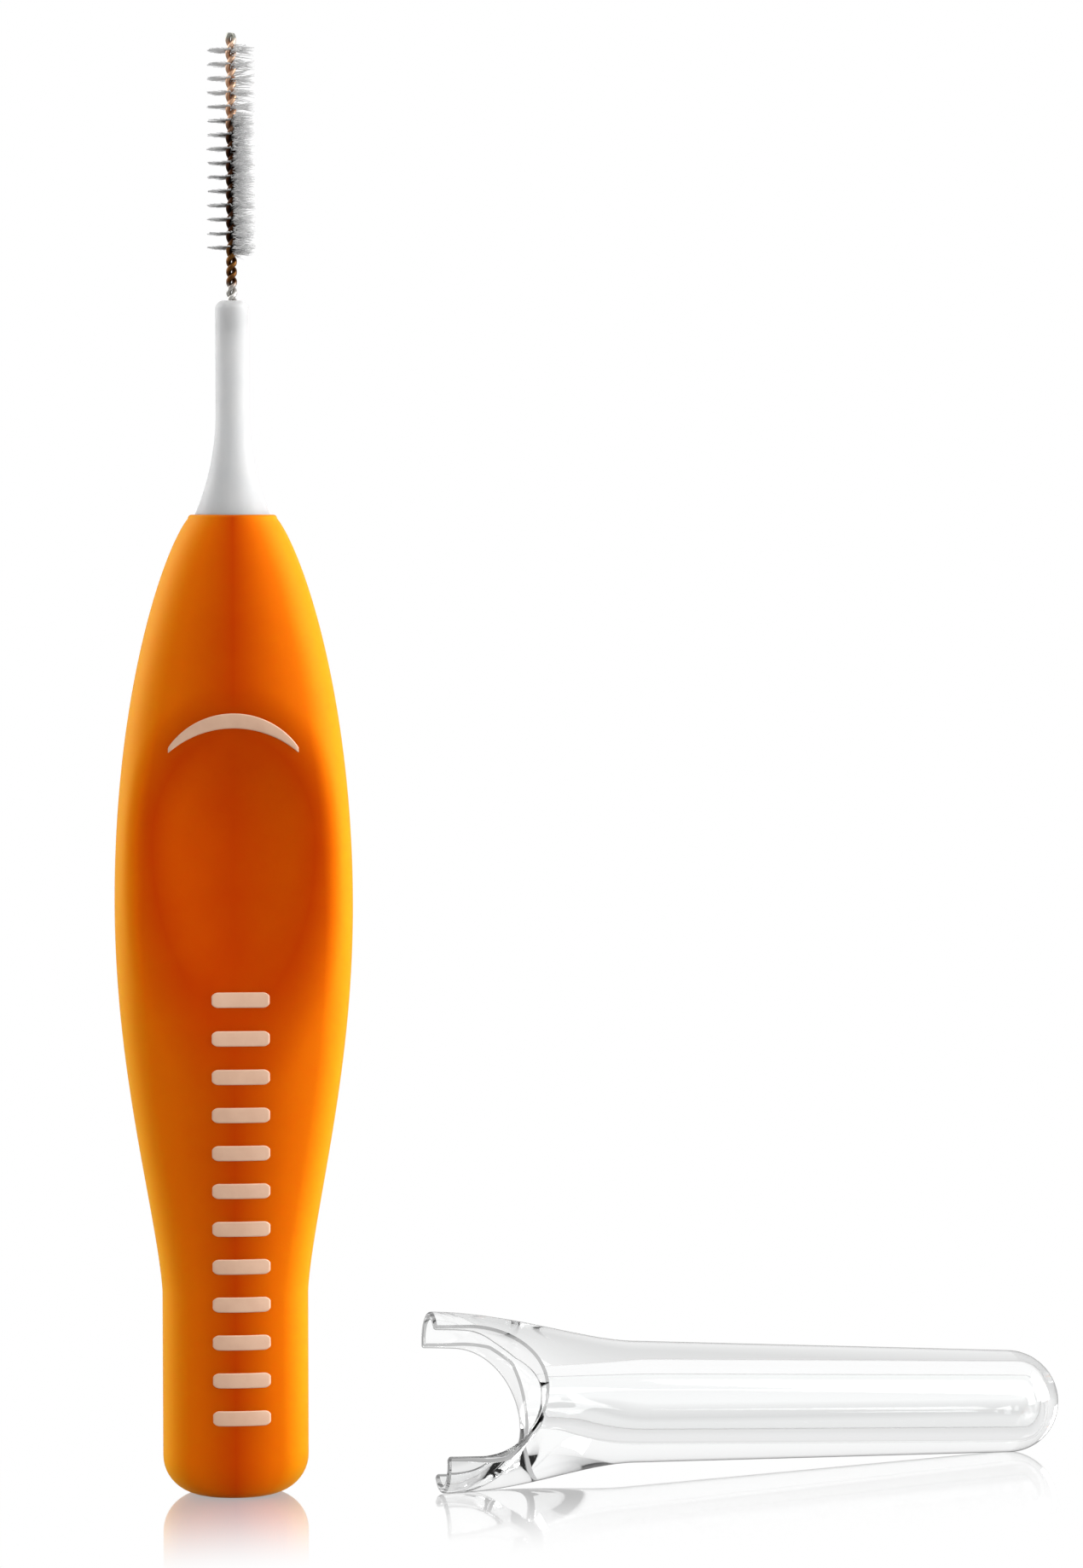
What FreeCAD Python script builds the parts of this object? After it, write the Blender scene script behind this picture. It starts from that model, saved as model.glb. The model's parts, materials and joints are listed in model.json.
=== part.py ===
# Interdental brush that stands on its tail, with its clear cap taken off and lying beside it.
# The origin is the middle of the foot, +Z runs up along the brush, and the front of the grip faces -Y.
# All lengths are in millimetres and all angles in degrees.
import FreeCAD, Part
import math
import os
import re
import Sketcher

V = FreeCAD.Vector
ORIGIN = V(0, 0, 0)
UP = V(0, 0, 1)
doc = FreeCAD.newDocument("interdental_brush")
sheet = doc.addObject("Spreadsheet::Sheet", "Sizes")

# Driving dimensions: name, value and what it measures
SIZES = [
    ("grip_length", 47.7, "foot to the flat shoulder under the white neck"),
    ("grip_width", 11.56, "widest place of the grip, seen from the front"),
    ("widest_height", 28.8, "height of the widest place above the foot"),
    ("waist_height", 9.8, "top of the straight tail"),
    ("tail_width", 7.1, "width of the straight tail"),
    ("shoulder_width", 3.92, "width of the grip's flat top"),
    ("crown_height", 37.0, "height of the thickest place"),
    ("crown_thickness", 5.8, "front to back at the crown"),
    ("tail_thickness", 4.4, "front to back at the tail"),
    ("shoulder_thickness", 3.74, "front to back at the grip's flat top"),
    ("corner_share", 1.214, "how far the side arcs of an oval reach in, as a share of width less thickness"),
    ("bullet_power", 0.75, "fullness of the outline above the widest place"),
    ("waist_power", 1.45, "fullness of the outline below the widest place"),
    ("foot_side_round", 1.85, "rounding of the foot, seen from the front"),
    ("foot_face_round", 0.6, "rounding of the foot, seen from the side"),
    ("hollow_height", 32.0, "height of the deepest place of the thumb hollow"),
    ("hollow_depth", 1.3, "depth of the thumb hollow below the crown"),
    ("hollow_top_radius", 15.0, "curve of the thumb hollow above its deepest place, seen from the side"),
    ("hollow_fade_radius", 45.0, "curve of the thumb hollow below its deepest place, seen from the side"),
    ("hollow_width_radius", 30.0, "curve of the thumb hollow, seen from the top"),
    ("neck_height", 10.3, "shoulder to the tip of the neck"),
    ("neck_diameter", 1.6, "tube of the neck"),
    ("neck_tip_chamfer", 0.3, "slanted rim of the neck"),
    ("flare_height", 4.9, "shoulder to the place where the neck is a plain tube"),
    ("flare_diameter", 3.64, "foot of the neck, on the grip's flat top"),
    ("root_diameter", 2.9, "round root of the neck inside the grip"),
    ("root_length", 4.0, "how deep the round root goes"),
    ("tang_length", 36.0, "how deep the flat tang goes"),
    ("tang_width", 2.5, "width of the tang at the root"),
    ("tang_tip_width", 2.2, "width of the tang at its lower end"),
    ("tang_thickness", 1.3, "thickness of the tang"),
    ("window_width", 1.2, "windows through which grip and tang interlock"),
    ("window_length", 4.0, "length of a window"),
    ("window_count", 4, "number of windows"),
    ("window_drop", 8.0, "shoulder to the top of the first window"),
    ("window_margin", 4.5, "last window to the lower end of the tang"),
    ("crescent_top", 38.2, "highest point of the crescent above the thumb hollow"),
    ("crescent_outer_radius", 3.8, "upper curve of the crescent"),
    ("crescent_inner_radius", 4.7, "lower curve of the crescent"),
    ("crescent_middle", 0.74, "breadth of the crescent in its middle"),
    ("crescent_width", 6.5, "tip to tip across the crescent"),
    ("wire_diameter", 0.22, "one leg of the folded wire"),
    ("pinch_clearance", 0.01, "least gap from a filament to the legs that hold it"),
    ("bare_pitch", 0.98, "one turn of the twist where no filaments are"),
    ("brush_turns", 7.5, "turns of the twist among the filaments"),
    ("anchor_depth", 4.5, "neck tip to the fold of the wire"),
    ("bore_clearance", 0.03, "gap from the wire to the bore of the neck"),
    ("bare_length", 2.2, "neck tip to the first filament"),
    ("brush_length", 10.1, "first filament to the last one"),
    ("tip_length", 0.5, "last filament to the cut ends of the wire"),
    ("brush_diameter", 2.4, "length of a filament, so the diameter of the brush"),
    ("filament_diameter", 0.07, "a filament across its flats"),
    ("cap_length", 32.9, "tips of the ears to the closed end"),
    ("cap_mouth_width", 9.34, "mouth of the cap, across the ears"),
    ("cap_mouth_depth", 3.84, "mouth of the cap, from notch to notch"),
    ("cap_flare_length", 10.5, "ears to the place where the cap is a plain tube"),
    ("cap_tube_diameter", 6.0, "outside of the tube next to the flare"),
    ("cap_end_diameter", 5.16, "outside of the tube next to the closed end"),
    ("cap_bore_diameter", 2.8, "bore that takes the brush"),
    ("cap_lining_length", 5.2, "ears to the place where the inside is a plain bore"),
    ("cap_lip_wall", 0.38, "wall of the ears"),
    ("cap_end_wall", 1.2, "thickness of the closed end"),
    ("cap_bore_chamfer", 0.8, "slanted corner at the end of the bore"),
    ("flare_width_power", 2.0, "fullness of the flare across the ears"),
    ("flare_depth_power", 3.2, "fullness of the flare from notch to notch"),
    ("notch_width", 6.7, "width of the two notches between the ears"),
    ("notch_depth", 5.02, "ear tips to the bottom of a notch"),
    ("cap_turn_angle", 12.96, "how far the lying cap turns its closed end away"),
    ("cap_roll_angle", 32.2, "how far the lying cap is rolled about its axis"),
    ("cap_reach", 9.75, "middle of the cap's mouth, to the right of the brush"),
    ("cap_setback", 0.56, "middle of the cap's mouth, behind the brush"),
    ("overrun", 1.0, "how far cutters reach past what they cut"),
]
for row, (alias, size, note) in enumerate(SIZES, start=1):
    sheet.set(f"A{row}", alias)
    sheet.set(f"B{row}", str(size))
    sheet.setAlias(f"B{row}", alias)
    sheet.set(f"C{row}", note)
doc.recompute()
KNOWN_WORDS = re.compile(r"\b(" + "|".join(alias for alias, _, _ in SIZES) + r")\b")

# Heights along the grip are spread so that they crowd together where the outline bends most
FOOT_ANGLES = (0, 25, 55)
WAIST_TRAVEL_SHARES = (1.0, 0.9, 0.76, 0.58, 0.38, 0.18)
BULLET_TRAVEL_SHARES = (0.0, 0.25, 0.48, 0.68, 0.84, 0.94, 1.0)
HOLLOW_RISE_SHARES = (0.24, 0.48, 0.72, 0.96, 1.2)
FLARE_TRAVEL_SHARES = (0.0, 0.1, 0.2, 0.3, 0.4, 0.5, 0.6, 0.7, 0.8, 0.9)
LINING_TRAVEL_SHARES = (0.0, 0.3, 0.55, 0.75, 0.9)
GRIP_SIDE_ARCS = 5
STRAND_SIDES = 6
STRAND_STEPS_PER_TURN = 6
FILAMENT_SIDES = 4
FILAMENTS_PER_TURN = 10


def size(alias):
    return float(sheet.get(alias))


def cells(text):
    """Expression text in which each word that the sheet knows becomes a reference to its cell"""
    return KNOWN_WORDS.sub(r"Sizes.\1", text)


def worked_out(text):
    return float(sheet.evalExpression(cells(text)))


def origin_plane(body, role):
    return next(feature for feature in body.Origin.OriginFeatures if feature.Role == role)


def new_sketch(body, name, role, offset_z="0", offset_y="0"):
    """Sketch on one of the body's own origin planes, moved along the plane's normal and its Y axis"""
    sketch = body.newObject("Sketcher::SketchObject", name)
    sketch.AttachmentSupport = (origin_plane(body, role), "")
    sketch.MapMode = "FlatFace"
    sketch.setExpression("AttachmentOffset.Base.z", cells(offset_z))
    sketch.setExpression("AttachmentOffset.Base.y", cells(offset_y))
    return sketch


def bind(sketch, label, constraint, text):
    """Add a dimension that follows an expression of the sheet's cells"""
    index = sketch.addConstraint(constraint)
    sketch.renameConstraint(index, label)
    sketch.setExpression(f"Constraints.{label}", cells(text))


# The face arcs of an oval meet its side arcs at this angle, whatever its width and thickness
SIDE_SLOPE = "atan((2 * corner_share - 1) / (2 * corner_share * (corner_share - 1)))"


def arc_between(start, end, radius, bulge):
    """Arc from start to end that bulges to the left (1) or right (-1), and the numbers of its two ends"""
    middle = (start + end) * 0.5
    left = UP.cross(end - start).normalize()
    rise = math.sqrt(radius ** 2 - start.distanceToPoint(end) ** 2 / 4)
    centre = middle - left * rise * bulge
    angles = [math.atan2(point.y - centre.y, point.x - centre.x) for point in (start, end)]
    if bulge > 0:
        angles.reverse()
    arc = Part.ArcOfCircle(Part.Circle(centre, UP, radius), angles[0], angles[1])
    return arc, (2, 1) if bulge > 0 else (1, 2)


def outline(sketch, corners):
    """Closed outline through corners (x, y, edge), where edge is None or the (radius, bulge) of an arc"""
    points = [V(worked_out(x), worked_out(y), 0) for x, y, _ in corners]
    ends = []
    for index, (_, _, edge) in enumerate(corners):
        start = points[index]
        end = points[(index + 1) % len(points)]
        if edge is None:
            sketch.addGeometry(Part.LineSegment(start, end), False)
            ends.append((1, 2))
        else:
            arc, arc_ends = arc_between(start, end, worked_out(edge[0]), edge[1])
            sketch.addGeometry(arc, False)
            ends.append(arc_ends)
    for index, (x, y, edge) in enumerate(corners):
        first_end, last_end = ends[index]
        after = (index + 1) % len(corners)
        sketch.addConstraint(Sketcher.Constraint("Coincident", index, last_end, after, ends[after][0]))
        for axis, text, distance in ((-2, x, "DistanceX"), (-1, y, "DistanceY")):
            if text == "0":
                sketch.addConstraint(Sketcher.Constraint("PointOnObject", index, first_end, axis))
                continue
            value = worked_out(text)
            place = Sketcher.Constraint(distance, -1, 1, index, first_end, value)
            bind(sketch, f"{distance}{index}", place, text)
        if edge is not None:
            radius = Sketcher.Constraint("Radius", index, worked_out(edge[0]))
            bind(sketch, f"Round{index}", radius, edge[0])


def arcs_of_oval(half_width, half_thickness, reach, side_arcs=1):
    """Arcs of an oval from its lower right on: the right side in equal pieces, top, left and bottom"""
    side_radius = half_width - reach
    if math.isclose(half_width, half_thickness):
        face_radius = side_radius
        drop = 0
    else:
        span = reach ** 2 + half_thickness ** 2 - side_radius ** 2
        face_radius = span / (half_thickness - side_radius) / 2
        drop = face_radius - half_thickness
    slope = math.radians(worked_out(SIDE_SLOPE))
    arcs = []
    for centre, radius, first, last, pieces in (
        (V(reach, 0, 0), side_radius, -slope, slope, side_arcs),
        (V(0, -drop, 0), face_radius, slope, math.pi - slope, 1),
        (V(-reach, 0, 0), side_radius, math.pi - slope, math.pi + slope, side_arcs),
        (V(0, drop, 0), face_radius, math.pi + slope, 2 * math.pi - slope, 1),
    ):
        step = (last - first) / pieces
        for piece in range(pieces):
            start = first + step * piece
            arcs.append(Part.ArcOfCircle(Part.Circle(centre, UP, radius), start, start + step))
    return arcs


def oval_section(body, name, width, thickness, height, side_arcs=1):
    """Sketch of an oval across the body's Z axis: two side arcs, perhaps in pieces, and two face arcs"""
    sketch = new_sketch(body, name, "XY_Plane", offset_z=height)
    half_width = worked_out(f"({width}) / 2")
    half_thickness = worked_out(f"({thickness}) / 2")
    reach = size("corner_share") * (half_width - half_thickness)
    reach_text = f"corner_share * (({width}) - ({thickness})) / 2"
    side_radius_text = f"({width}) / 2 - {reach_text}"
    arcs = arcs_of_oval(half_width, half_thickness, reach, side_arcs)
    sketch.addGeometry(arcs, False)
    sketch.addGeometry(Part.Point(V(0, half_thickness, 0)), True)
    top, left, bottom, crown = side_arcs, side_arcs + 1, 2 * side_arcs + 1, 2 * side_arcs + 2
    rule = Sketcher.Constraint
    for index in range(crown):
        after = (index + 1) % crown
        at_face = index in (top, bottom) or after in (top, bottom)
        sketch.addConstraint(rule("Tangent" if at_face else "Coincident", index, 2, after, 1))
    for side in (0, left):
        for piece in range(1, side_arcs):
            index = side + piece
            sketch.addConstraint(rule("Coincident", side, 3, index, 3))
            split = rule("DistanceY", -1, 1, index, 1, arcs[index].StartPoint.y)
            share = (2 * piece / side_arcs - 1) * (1 if side == 0 else -1)
            bind(sketch, f"Split{index}", split, f"({side_radius_text}) * sin({share} * {SIDE_SLOPE})")
    sketch.addConstraint(rule("PointOnObject", 0, 3, -1))
    sketch.addConstraint(rule("Symmetric", 0, 3, left, 3, -1, 1))
    sketch.addConstraint(rule("PointOnObject", top, 3, -2))
    sketch.addConstraint(rule("Equal", top, bottom))
    sketch.addConstraint(rule("PointOnObject", crown, 1, -2))
    sketch.addConstraint(rule("PointOnObject", crown, 1, top))
    bind(sketch, "SideCentre", rule("DistanceX", -1, 1, 0, 3, reach), reach_text)
    bind(sketch, "SideRadius", rule("Radius", 0, half_width - reach), side_radius_text)
    bind(sketch, "HalfThickness", rule("DistanceY", -1, 1, crown, 1, half_thickness), f"({thickness}) / 2")
    return sketch


def round_section(body, name, diameter, height):
    """Sketch of a circle across the body's Z axis, in four arcs that match those of the ovals"""
    sketch = new_sketch(body, name, "XY_Plane", offset_z=height)
    radius = worked_out(f"({diameter}) / 2")
    arcs = arcs_of_oval(radius, radius, 0)
    sketch.addGeometry(arcs, False)
    rule = Sketcher.Constraint
    for index in range(4):
        sketch.addConstraint(rule("Coincident", index, 2, (index + 1) % 4, 1))
    for index in range(3):
        sketch.addConstraint(rule("Coincident", index, 3, -1, 1))
    sketch.addConstraint(rule("Equal", 0, 3))
    sketch.addConstraint(rule("Vertical", 0, 1, 0, 2))
    sketch.addConstraint(rule("Horizontal", 0, 2, 1, 2))
    sketch.addConstraint(rule("Vertical", 1, 2, 2, 2))
    bind(sketch, "Radius", rule("Radius", 0, radius), f"({diameter}) / 2")
    growth = "2 * corner_share * (corner_share - 1)"
    side_break = f"({diameter}) / 2 * {growth} / ({growth} + 1)"
    bind(sketch, "SideBreak", rule("DistanceX", -1, 1, 0, 2, arcs[0].EndPoint.x), side_break)
    return sketch


def loft(body, kind, name, sections):
    feature = body.newObject(f"PartDesign::{kind}", name)
    feature.Profile = sections[0]
    feature.Sections = sections[1:]
    feature.Ruled = True
    return feature


def turned(body, kind, name, sketch):
    """Revolution or groove about the upright axis of its sketch"""
    feature = body.newObject(f"PartDesign::{kind}", name)
    feature.Profile = sketch
    feature.ReferenceAxis = (sketch, ["V_Axis"])
    feature.Angle = 360
    return feature


# Grip: a flat bullet with an oval section and a thumb hollow on both faces
def eased(end, middle, travel, power):
    """Size that starts at its middle value and eases to its end value over a travel from 0 to 1"""
    return f"({end} + ({middle} - {end}) * (1 - ({travel}) ^ 2) ^ {power})"


def grip_thickness_at(height):
    """Expression of the grip's thickness at a height, on either side of the crown"""
    if worked_out(height) < size("crown_height"):
        travel = f"(crown_height - ({height})) / (crown_height - waist_height)"
        return eased("tail_thickness", "crown_thickness", travel, "waist_power")
    travel = f"(({height}) - crown_height) / (grip_length - crown_height)"
    return eased("shoulder_thickness", "crown_thickness", travel, "bullet_power")


def grip_sections(body):
    stations = []
    for angle in FOOT_ANGLES:
        height = f"foot_side_round * (1 - cos({angle} deg))"
        width = f"tail_width - 2 * foot_side_round * (1 - sin({angle} deg))"
        thickness = f"tail_thickness - 2 * foot_face_round * (1 - sin({angle} deg))"
        stations.append((height, width, thickness))
    stations.append(("foot_side_round", "tail_width", "tail_thickness"))
    for share in WAIST_TRAVEL_SHARES:
        height = f"widest_height - (widest_height - waist_height) * {share}"
        width = eased("tail_width", "grip_width", str(share), "waist_power")
        stations.append((height, width, grip_thickness_at(height)))
    for share in BULLET_TRAVEL_SHARES:
        height = f"widest_height + (grip_length - widest_height) * {share}"
        width = eased("shoulder_width", "grip_width", str(share), "bullet_power")
        stations.append((height, width, grip_thickness_at(height)))
    sections = []
    for number, (height, width, thickness) in enumerate(stations, start=1):
        name = f"grip_section_{number}"
        sections.append(oval_section(body, name, width, thickness, height, GRIP_SIDE_ARCS))
    return sections


def hollow_section(body, name, radius, travel):
    """Level section of the front hollow's cutter, a travel above its deepest place on an arc of a radius"""
    depth = f"(crown_thickness / 2 - hollow_depth + {radius} - sqrt({radius} ^ 2 - ({travel}) ^ 2))"
    reach = "(grip_width / 2 + overrun)"
    sag = f"(hollow_width_radius - sqrt(hollow_width_radius ^ 2 - {reach} ^ 2))"
    sketch = new_sketch(body, name, "XY_Plane", f"hollow_height + {travel}")
    outline(sketch, [
        (f"-{reach}", f"-({depth} + {sag})", ("hollow_width_radius", 1)),
        (reach, f"-({depth} + {sag})", None),
        (reach, "-crown_thickness", None),
        (f"-{reach}", "-crown_thickness", None),
    ])
    return sketch


def hollow_sections(body):
    """Sections up the hollow: it fades out slowly below its deepest place, and rises faster above"""
    stations = []
    for radius, sign in (("hollow_fade_radius", "-"), ("hollow_top_radius", "")):
        rise = f"sqrt({radius} ^ 2 - ({radius} - hollow_depth) ^ 2)"
        half = [(radius, f"({sign}{share} * {rise})") for share in HOLLOW_RISE_SHARES]
        stations += [*reversed(half), (radius, "0")] if sign else half
    return [
        hollow_section(body, f"hollow_section_{number}", radius, travel)
        for number, (radius, travel) in enumerate(stations, start=1)
    ]


def make_grip_form():
    body = doc.addObject("PartDesign::Body", "grip_form")
    sections = grip_sections(body)
    loft(body, "AdditiveLoft", "grip_loft", sections)
    front = loft(body, "SubtractiveLoft", "front_hollow", hollow_sections(body))
    back = body.newObject("PartDesign::Mirrored", "back_hollow")
    back.Originals = [front]
    back.MirrorPlane = (origin_plane(body, "XZ_Plane"), [""])
    body.Tip = back
    return body


# Neck core: the white moulding, with its neck above the shoulder and its tang inside the grip
def make_core_form():
    body = doc.addObject("PartDesign::Body", "core_form")
    top = "grip_length + neck_height"
    gain = "((flare_diameter - neck_diameter) / 2)"
    flare_radius = f"({gain} ^ 2 + flare_height ^ 2) / (2 * {gain})"
    neck = new_sketch(body, "neck_profile", "XZ_Plane")
    outline(neck, [
        ("0", "grip_length - root_length", None),
        ("root_diameter / 2", "grip_length - root_length", None),
        ("root_diameter / 2", "grip_length", None),
        ("flare_diameter / 2", "grip_length", (flare_radius, 1)),
        ("neck_diameter / 2", "grip_length + flare_height", None),
        ("neck_diameter / 2", f"{top} - neck_tip_chamfer", None),
        ("neck_diameter / 2 - neck_tip_chamfer", top, None),
        ("0", top, None),
    ])
    turned(body, "Revolution", "neck", neck)
    tang = new_sketch(body, "tang_profile", "XZ_Plane")
    outline(tang, [
        ("-tang_width / 2", "grip_length - root_length / 2", None),
        ("-tang_tip_width / 2", "grip_length - tang_length", None),
        ("tang_tip_width / 2", "grip_length - tang_length", None),
        ("tang_width / 2", "grip_length - root_length / 2", None),
    ])
    pad = body.newObject("PartDesign::Pad", "tang")
    pad.Profile = tang
    pad.SideType = "Symmetric"
    pad.setExpression("Length", cells("tang_thickness"))
    doc.recompute()
    window = new_sketch(body, "window_profile", "XZ_Plane")
    outline(window, [
        ("-window_width / 2", "grip_length - window_drop - window_length", None),
        ("window_width / 2", "grip_length - window_drop - window_length", None),
        ("window_width / 2", "grip_length - window_drop", None),
        ("-window_width / 2", "grip_length - window_drop", None),
    ])
    pocket = body.newObject("PartDesign::Pocket", "first_window")
    pocket.Profile = window
    pocket.SideType = "Symmetric"
    pocket.setExpression("Length", cells("tang_thickness + 2 * overrun"))
    windows = body.newObject("PartDesign::LinearPattern", "windows")
    windows.Originals = [pocket]
    windows.Direction = (origin_plane(body, "Z_Axis"), [""])
    windows.Reversed = True
    windows.setExpression("Occurrences", cells("window_count"))
    windows.setExpression("Length", cells("tang_length - window_drop - window_length - window_margin"))
    body.Tip = windows
    bore = new_sketch(body, "bore_profile", "XY_Plane", top)
    bore.addGeometry(Part.Circle(ORIGIN, UP, worked_out(BORE_RADIUS)), False)
    bore.addConstraint(Sketcher.Constraint("Coincident", 0, 3, -1, 1))
    bind(bore, "Radius", Sketcher.Constraint("Radius", 0, worked_out(BORE_RADIUS)), BORE_RADIUS)
    drill = body.newObject("PartDesign::Pocket", "wire_bore")
    drill.Profile = bore
    drill.setExpression("Length", cells(f"anchor_depth + {BORE_RADIUS}"))
    return body


def make_crescent(grip_form):
    """The crescent is a boss of the core that comes through the grip and lies flush with its front"""
    prism = doc.addObject("PartDesign::Body", "crescent_prism")
    outer_centre = "(crescent_top - crescent_outer_radius)"
    inner_centre = "(crescent_top - crescent_middle - crescent_inner_radius)"
    half = "(crescent_width / 2)"
    outer_end = f"{outer_centre} + sqrt(crescent_outer_radius ^ 2 - {half} ^ 2)"
    inner_end = f"{inner_centre} + sqrt(crescent_inner_radius ^ 2 - {half} ^ 2)"
    sketch = new_sketch(prism, "crescent_profile", "XZ_Plane")
    outline(sketch, [
        (half, inner_end, None),
        (half, outer_end, ("crescent_outer_radius", -1)),
        (f"-{half}", outer_end, None),
        (f"-{half}", inner_end, ("crescent_inner_radius", 1)),
    ])
    pad = prism.newObject("PartDesign::Pad", "crescent_pad")
    pad.Profile = sketch
    pad.setExpression("Length", cells("crown_thickness / 2 + overrun"))
    boss = doc.addObject("Part::Common", "crescent_boss")
    boss.Base = prism
    boss.Tool = grip_form
    return boss


# The wire's legs stand this far from the axis, and the bore clears their outermost corners
LEG_RADIUS = "((wire_diameter + filament_diameter) / 2 + pinch_clearance)"
BORE_RADIUS = f"({LEG_RADIUS} + wire_diameter / 2 + bore_clearance)"
BRUSH_PITCH = "(brush_length / brush_turns)"

grip_form = make_grip_form()
core_form = make_core_form()
doc.recompute()
crescent_boss = make_crescent(grip_form)
neck_core = doc.addObject("Part::MultiFuse", "neck_core")
neck_core.Shapes = [core_form, crescent_boss]
grip = doc.addObject("Part::Cut", "grip")
grip.Base = grip_form
grip.Tool = neck_core


# Stem wire: one wire folded in two, its legs twisted about each other around the filaments
def twist_stations():
    """Heights and twist angles from the fold in the neck to the cut ends, in equal steps of the twist"""
    neck_top = size("grip_length") + size("neck_height")
    fold = neck_top - size("anchor_depth")
    bare = size("anchor_depth") + size("bare_length")
    full = size("brush_length") + size("tip_length")
    zones = ((bare, size("bare_pitch")), (full, worked_out(BRUSH_PITCH)))
    stations = [(fold, 0)]
    for length, pitch in zones:
        height, angle = stations[-1]
        steps = math.ceil(length / pitch * STRAND_STEPS_PER_TURN)
        for step in range(1, steps + 1):
            travel = length * step / steps
            stations.append((height + travel, angle + 360 * travel / pitch))
    return stations


def strand_corners():
    """Corners of a leg's level section, stretched along the twist because the leg leans"""
    leg_radius = worked_out(LEG_RADIUS)
    wire_radius = size("wire_diameter") / 2 / math.cos(math.pi / STRAND_SIDES)
    stretch = math.hypot(1, 2 * math.pi * leg_radius / worked_out(BRUSH_PITCH))
    corners = []
    for number in range(STRAND_SIDES):
        angle = 2 * math.pi * (number + 0.5) / STRAND_SIDES
        outward = leg_radius + wire_radius * math.cos(angle)
        corners.append(V(outward, stretch * wire_radius * math.sin(angle), 0))
    return corners


def strand_section(corners, height, angle):
    turn = FreeCAD.Placement(UP * height, FreeCAD.Rotation(UP, angle))
    return Part.makePolygon([turn.multVec(corner) for corner in corners + corners[:1]])


def make_stem_wire():
    corners = strand_corners()
    stations = twist_stations()
    leg = Part.makeLoft([strand_section(corners, height, angle) for height, angle in stations], True, True)
    other_leg = leg.copy()
    other_leg.rotate(ORIGIN, UP, 180)
    fold_height = stations[0][0]
    fold_face = Part.Face(strand_section(corners, fold_height, 0))
    fold = fold_face.revolve(UP * fold_height, V(0, 1, 0), 180)
    wire = doc.addObject("Part::Feature", "stem_wire")
    wire.Shape = leg.multiFuse([other_leg, fold]).Solids[0]
    return wire


# Filaments: straight nylon bristles, each pinched between the legs and square to them
def make_filaments():
    neck_top = size("grip_length") + size("neck_height")
    first = neck_top + size("bare_length")
    step = worked_out(BRUSH_PITCH) / FILAMENTS_PER_TURN
    count = math.floor(size("brush_turns") * FILAMENTS_PER_TURN)
    start_angle = 360 * (size("anchor_depth") + size("bare_length")) / size("bare_pitch")
    corner_radius = size("filament_diameter") / 2 / math.cos(math.pi / FILAMENT_SIDES)
    half_length = size("brush_diameter") / 2
    corners = []
    for number in range(FILAMENT_SIDES):
        angle = 2 * math.pi * (number + 0.5) / FILAMENT_SIDES
        corners.append(V(-half_length, corner_radius * math.sin(angle), corner_radius * math.cos(angle)))
    end_face = Part.Face(Part.makePolygon(corners + corners[:1]))
    filament = end_face.extrude(V(2 * half_length, 0, 0))
    turns = []
    for number in range(count):
        travel = step * (number + 0.5)
        angle = start_angle + 360 * travel / worked_out(BRUSH_PITCH) + 90
        piece = filament.copy()
        piece.Placement = FreeCAD.Placement(UP * (first + travel), FreeCAD.Rotation(UP, angle))
        if number % FILAMENTS_PER_TURN == 0:
            turns.append([])
        turns[-1].append(piece)
    nodes = []
    for number, pieces in enumerate(turns, start=1):
        node = doc.addObject("Part::Feature", f"filaments_turn_{number}")
        node.Shape = Part.makeCompound(pieces)
        nodes.append(node)
    return nodes


# Cap: a clear tube with a domed end, flared to an oval mouth with two notches and two ears
DOME_START = "(cap_length - cap_end_diameter / 2)"


def cap_width_at(share):
    return eased("cap_tube_diameter", "cap_mouth_width", share, "flare_width_power")


def cap_depth_at(share):
    return eased("cap_tube_diameter", "cap_mouth_depth", share, "flare_depth_power")


def flare_sections(body):
    sections = []
    for number, share in enumerate(FLARE_TRAVEL_SHARES, start=1):
        height = f"cap_flare_length * {share}"
        name = f"flare_section_{number}"
        sections.append(oval_section(body, name, cap_width_at(share), cap_depth_at(share), height))
    sections.append(round_section(body, "flare_section_end", "cap_tube_diameter", "cap_flare_length"))
    sections.append(round_section(body, "tube_section_end", "cap_end_diameter", DOME_START))
    return sections


def lining_sections(body):
    """Sections of the inside, from thin ears to the bore, which starts about where the notches end"""
    sections = []
    for number, share in enumerate(LINING_TRAVEL_SHARES, start=1):
        width = eased("cap_bore_diameter", "(cap_mouth_width - 2 * cap_lip_wall)", share, 1)
        depth = eased("cap_bore_diameter", "(cap_mouth_depth - 2 * cap_lip_wall)", share, 1)
        name = f"lining_section_{number}"
        sections.append(oval_section(body, name, width, depth, f"cap_lining_length * {share}"))
    sections.append(round_section(body, "lining_section_end", "cap_bore_diameter", "cap_lining_length"))
    return sections


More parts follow.
